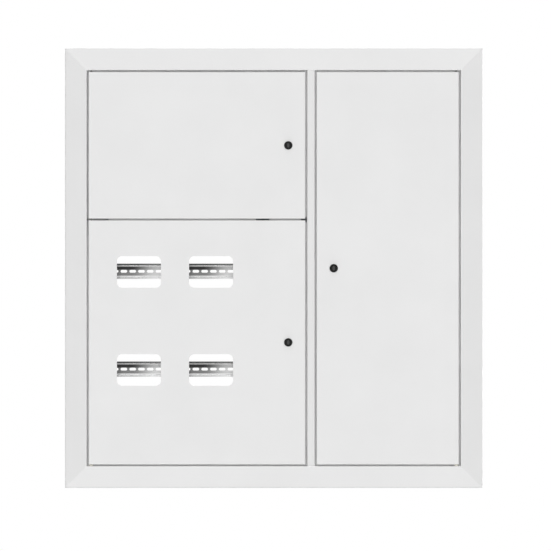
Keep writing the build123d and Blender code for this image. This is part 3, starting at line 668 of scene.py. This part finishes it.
def makeNut(node, body, bore, facing):
    low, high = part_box(node)
    axis = Vector(facing)
    height = (high - low).dot(axis)
    flat = sorted(high - low)[1] / 2
    crown = flat * nutLook["turned"]
    aimed = facingMatrix((low + high) / 2 - axis * height / 2, axis)
    across = aimed.to_3x3().inverted() @ (high - low)
    corner = 0.0 if abs(across.x) > abs(across.y) else math.pi / 6

    def sideOut(angle):
        return flat / math.cos((angle - corner) % (math.pi / 3) - math.pi / 6)

    def lowEdge(angle):
        return sideOut(angle), (sideOut(angle) - crown) * nutLook["slope"]

    def highEdge(angle):
        return sideOut(angle), height - (sideOut(angle) - crown) * nutLook["slope"]

    bm = bmesh.new()
    bmesh.ops.create_circle(bm, segments=nutLook["sides"], radius=bore)
    ring = growRound(bm, list(bm.edges), crown, 0.0)
    ring = growRing(bm, ring, lowEdge)
    ring = growRing(bm, ring, highEdge)
    ring = growRound(bm, ring, crown, height)
    ring = growRound(bm, ring, bore, height)
    growRound(bm, ring, bore, 0.0)
    bmesh.ops.transform(bm, matrix=aimed, verts=bm.verts)
    finishPiece(bm, node, body, "_turned", nutLook["sharp"])


# Lock housing: a rounded rim in front of the door and a threaded shank behind it
housingLook = {"rim": 0.0025, "rimRound": 0.0008, "roundSteps": 5, "floor": 0.00165, "counterbore": 0.00755,
               "bore": 0.006, "shank": 0.008, "plain": 0.0014, "pitch": 0.001, "threadDepth": 0.0004,
               "steps": 48}


def makeHousing(node, body):
    look = housingLook
    low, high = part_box(node)
    length = high.y - low.y
    rimOut = (high.x - low.x) / 2 - look["rimRound"]
    outline = [(look["bore"], look["floor"]), (look["counterbore"], look["floor"])]
    outline.append((look["counterbore"], 0.0))
    for i in range(look["roundSteps"] + 1):
        angle = i / look["roundSteps"] * math.pi / 2
        out = rimOut + look["rimRound"] * math.sin(angle)
        outline.append((out, look["rimRound"] * (1 - math.cos(angle))))
    outline += [(rimOut + look["rimRound"], look["rim"]), (look["shank"], look["rim"])]
    start = look["rim"] + look["plain"]
    ridges = int(2 * (length - start) / look["pitch"])
    for i in range(ridges + 1):
        outline.append((look["shank"] - look["threadDepth"] * (i % 2), start + i * (length - start) / ridges))
    outline.append((look["bore"], length))
    bm = bmesh.new()
    points = [bm.verts.new((out, 0.0, way)) for out, way in outline]
    for first, second in zip(points, points[1:] + points[:1]):
        bm.edges.new((first, second))
    bmesh.ops.spin(bm, geom=list(bm.verts) + list(bm.edges), axis=(0, 0, 1), angle=2 * math.pi,
                   steps=look["steps"], use_merge=True)
    inward = Vector((0.0, 1.0, 0.0))
    place = Vector(((low.x + high.x) / 2, low.y, (low.z + high.z) / 2))
    bmesh.ops.transform(bm, matrix=facingMatrix(place, inward), verts=bm.verts)
    finishPiece(bm, node, body, "_turned")


for node in ("rail_screws", "bar_fixings", "sheet_screws", "meter_panel_screws"):
    makeScrews(node, "enclosure", "cross")
for node in ("neutral_screws", "earth_screws"):
    makeScrews(node, "enclosure", "slot")
makeStud("earth_stud", "enclosure", "earth", (1.0, 0.0, 0.0))
makeNut("earth_stud_nut", "enclosure", nutLook["studBore"], (1.0, 0.0, 0.0))
for door in doorNames:
    makeScrews(door + "_cam_screw", door + "_lock", "cross")
    makeStud(door + "_door_stud", door + "_door", "door", (0.0, 1.0, 0.0))
    makeNut(door + "_lock_nut", door + "_door", nutLook["lockBore"], (0.0, 1.0, 0.0))
    makeHousing(door + "_lock_housing", door + "_door")
print("fasteners and locks detailed")


# Rays that see the white studio itself and not only its light
def seenRay(tree):
    path = tree.nodes.new("ShaderNodeLightPath").outputs
    first = mathOf(tree, "MAXIMUM", path["Is Camera Ray"], path["Is Glossy Ray"])
    return mathOf(tree, "MAXIMUM", first, path["Is Transmission Ray"])


# Floor well below the board, white for the camera away from the shadow
floorLook = {"drop": 0.25, "half": 3.0, "back": 1.5, "tone": 226, "spread": 2, "grain": 40.0,
             "clear": (0.25, 1.35), "white": (0.55, 1.0)}


def makeFloor():
    bm = bmesh.new()
    bmesh.ops.create_grid(bm, x_segments=1, y_segments=1, size=1.0)
    depth = floorLook["half"] + floorLook["back"]
    bmesh.ops.scale(bm, vec=(floorLook["half"], depth / 2, 1.0), verts=bm.verts)
    place = Vector((0.0, floorLook["back"] - depth / 2, cadBox[0].z - floorLook["drop"]))
    bmesh.ops.translate(bm, vec=place, verts=bm.verts)
    mesh = bpy.data.meshes.new("floor")
    bm.to_mesh(mesh)
    bm.free()
    floor = bpy.data.objects.new("floor", mesh)
    scene.collection.objects.link(floor)
    material = bpy.data.materials.new("paleFloor")
    material.use_nodes = True
    tree = material.node_tree
    tree.nodes.clear()
    place = objectCoords(tree)
    axes = axesOf(tree, place)
    away = mathOf(tree, "SQRT", mathOf(tree, "ADD", mathOf(tree, "MULTIPLY", axes[0], axes[0]),
                                       mathOf(tree, "MULTIPLY", axes[1], axes[1])))
    share = spreadOf(tree, away, *floorLook["clear"], *floorLook["white"], True)
    matte = tree.nodes.new("ShaderNodeBsdfDiffuse")
    grain = noiseOf(tree, place, floorLook["grain"])
    dark = tone(floorLook["tone"] - floorLook["spread"])
    colour = mixOf(tree, grain, dark, tone(floorLook["tone"] + floorLook["spread"]))
    feed(tree, matte.inputs["Color"], colour)
    glow = tree.nodes.new("ShaderNodeEmission")
    mix = tree.nodes.new("ShaderNodeMixShader")
    feed(tree, mix.inputs[0], mathOf(tree, "MULTIPLY", share, seenRay(tree)))
    tree.links.new(matte.outputs[0], mix.inputs[1])
    tree.links.new(glow.outputs[0], mix.inputs[2])
    underside = tree.nodes.new("ShaderNodeMixShader")  # clear from below, so the board shows there too
    feed(tree, underside.inputs[0], tree.nodes.new("ShaderNodeNewGeometry").outputs["Backfacing"])
    tree.links.new(mix.outputs[0], underside.inputs[1])
    tree.links.new(tree.nodes.new("ShaderNodeBsdfTransparent").outputs[0], underside.inputs[2])
    output = tree.nodes.new("ShaderNodeOutputMaterial")
    tree.links.new(underside.outputs[0], output.inputs["Surface"])
    mesh.materials.append(material)
    floor.visible_shadow = False
    floor.visible_diffuse = False


# White studio round the board, dimmer to the sides and behind for the light that it gives
worldLook = {"level": 0.25, "sideFall": 0.9, "backFall": 0.35, "backReach": (-0.2, 0.6)}


def makeWorld():
    world = bpy.data.worlds.new("studio")
    world.use_nodes = True
    tree = world.node_tree
    background = tree.nodes["Background"]
    axes = axesOf(tree, tree.nodes.new("ShaderNodeTexCoord").outputs["Generated"])
    side = mathOf(tree, "MULTIPLY", mathOf(tree, "MULTIPLY", axes[0], axes[0]), -worldLook["sideFall"])
    level = mathOf(tree, "MULTIPLY", mathOf(tree, "ADD", side, 1.0), worldLook["level"])
    back = spreadOf(tree, axes[1], *worldLook["backReach"], 1.0, 1.0 - worldLook["backFall"])
    level = mathOf(tree, "MULTIPLY", level, back)
    seen = seenRay(tree)
    strength = mathOf(tree, "MULTIPLY_ADD", seen, mathOf(tree, "SUBTRACT", 1.0, level), level)
    feed(tree, background.inputs["Strength"], strength)
    background.inputs["Color"].default_value = (1.0, 1.0, 1.0, 1.0)
    scene.world = world


# Lamps by the way their light travels, with strength in parts of a fully lit white
lampLooks = {
    "frontLamp": {"travel": (0.0, 0.978, -0.208), "level": 0.69, "spread": 90, "glossy": False},
    "topLamp": {"travel": (0.0, 0.174, -0.985), "level": 0.18, "spread": 20, "glossy": True},
    "bottomLamp": {"travel": (0.0, 0.174, 0.985), "level": 0.39, "spread": 20, "glossy": True},
    "rearLamp": {"travel": (0.1, -0.8, -0.6), "level": 0.25, "spread": 50, "glossy": True},
    "leftLamp": {"travel": (0.9, -0.42, -0.1), "level": 0.52, "spread": 20, "glossy": True},
    "rightLamp": {"travel": (-0.9, -0.42, -0.1), "level": 0.65, "spread": 20, "glossy": True},
}


def makeLamps():
    for name, look in lampLooks.items():
        lamp = bpy.data.lights.new(name, "SUN")
        lamp.energy = look["level"] * math.pi
        lamp.angle = math.radians(look["spread"])
        holder = bpy.data.objects.new(name, lamp)
        holder.rotation_euler = Vector(look["travel"]).to_track_quat("-Z", "Y").to_euler()
        holder.visible_glossy = look["glossy"]
        scene.collection.objects.link(holder)


# Camera square to the doors, a little below the middle of the board
cameraLook = {"away": 24.0, "across": 0.0040, "up": -0.0166, "lens": 689.7, "sensor": 36.0, "clipEnd": 100.0}


def makeCamera():
    data = bpy.data.cameras.new("camera")
    data.lens = cameraLook["lens"]
    data.sensor_width = cameraLook["sensor"]
    data.clip_end = cameraLook["clipEnd"]
    camera = bpy.data.objects.new("camera", data)
    camera.location = (cameraLook["across"], cadBox[0].y - cameraLook["away"], cameraLook["up"])
    camera.rotation_euler = (math.pi / 2, 0.0, 0.0)
    scene.collection.objects.link(camera)
    scene.camera = camera


makeFloor()
makeWorld()
makeLamps()
makeCamera()
print("stage set")
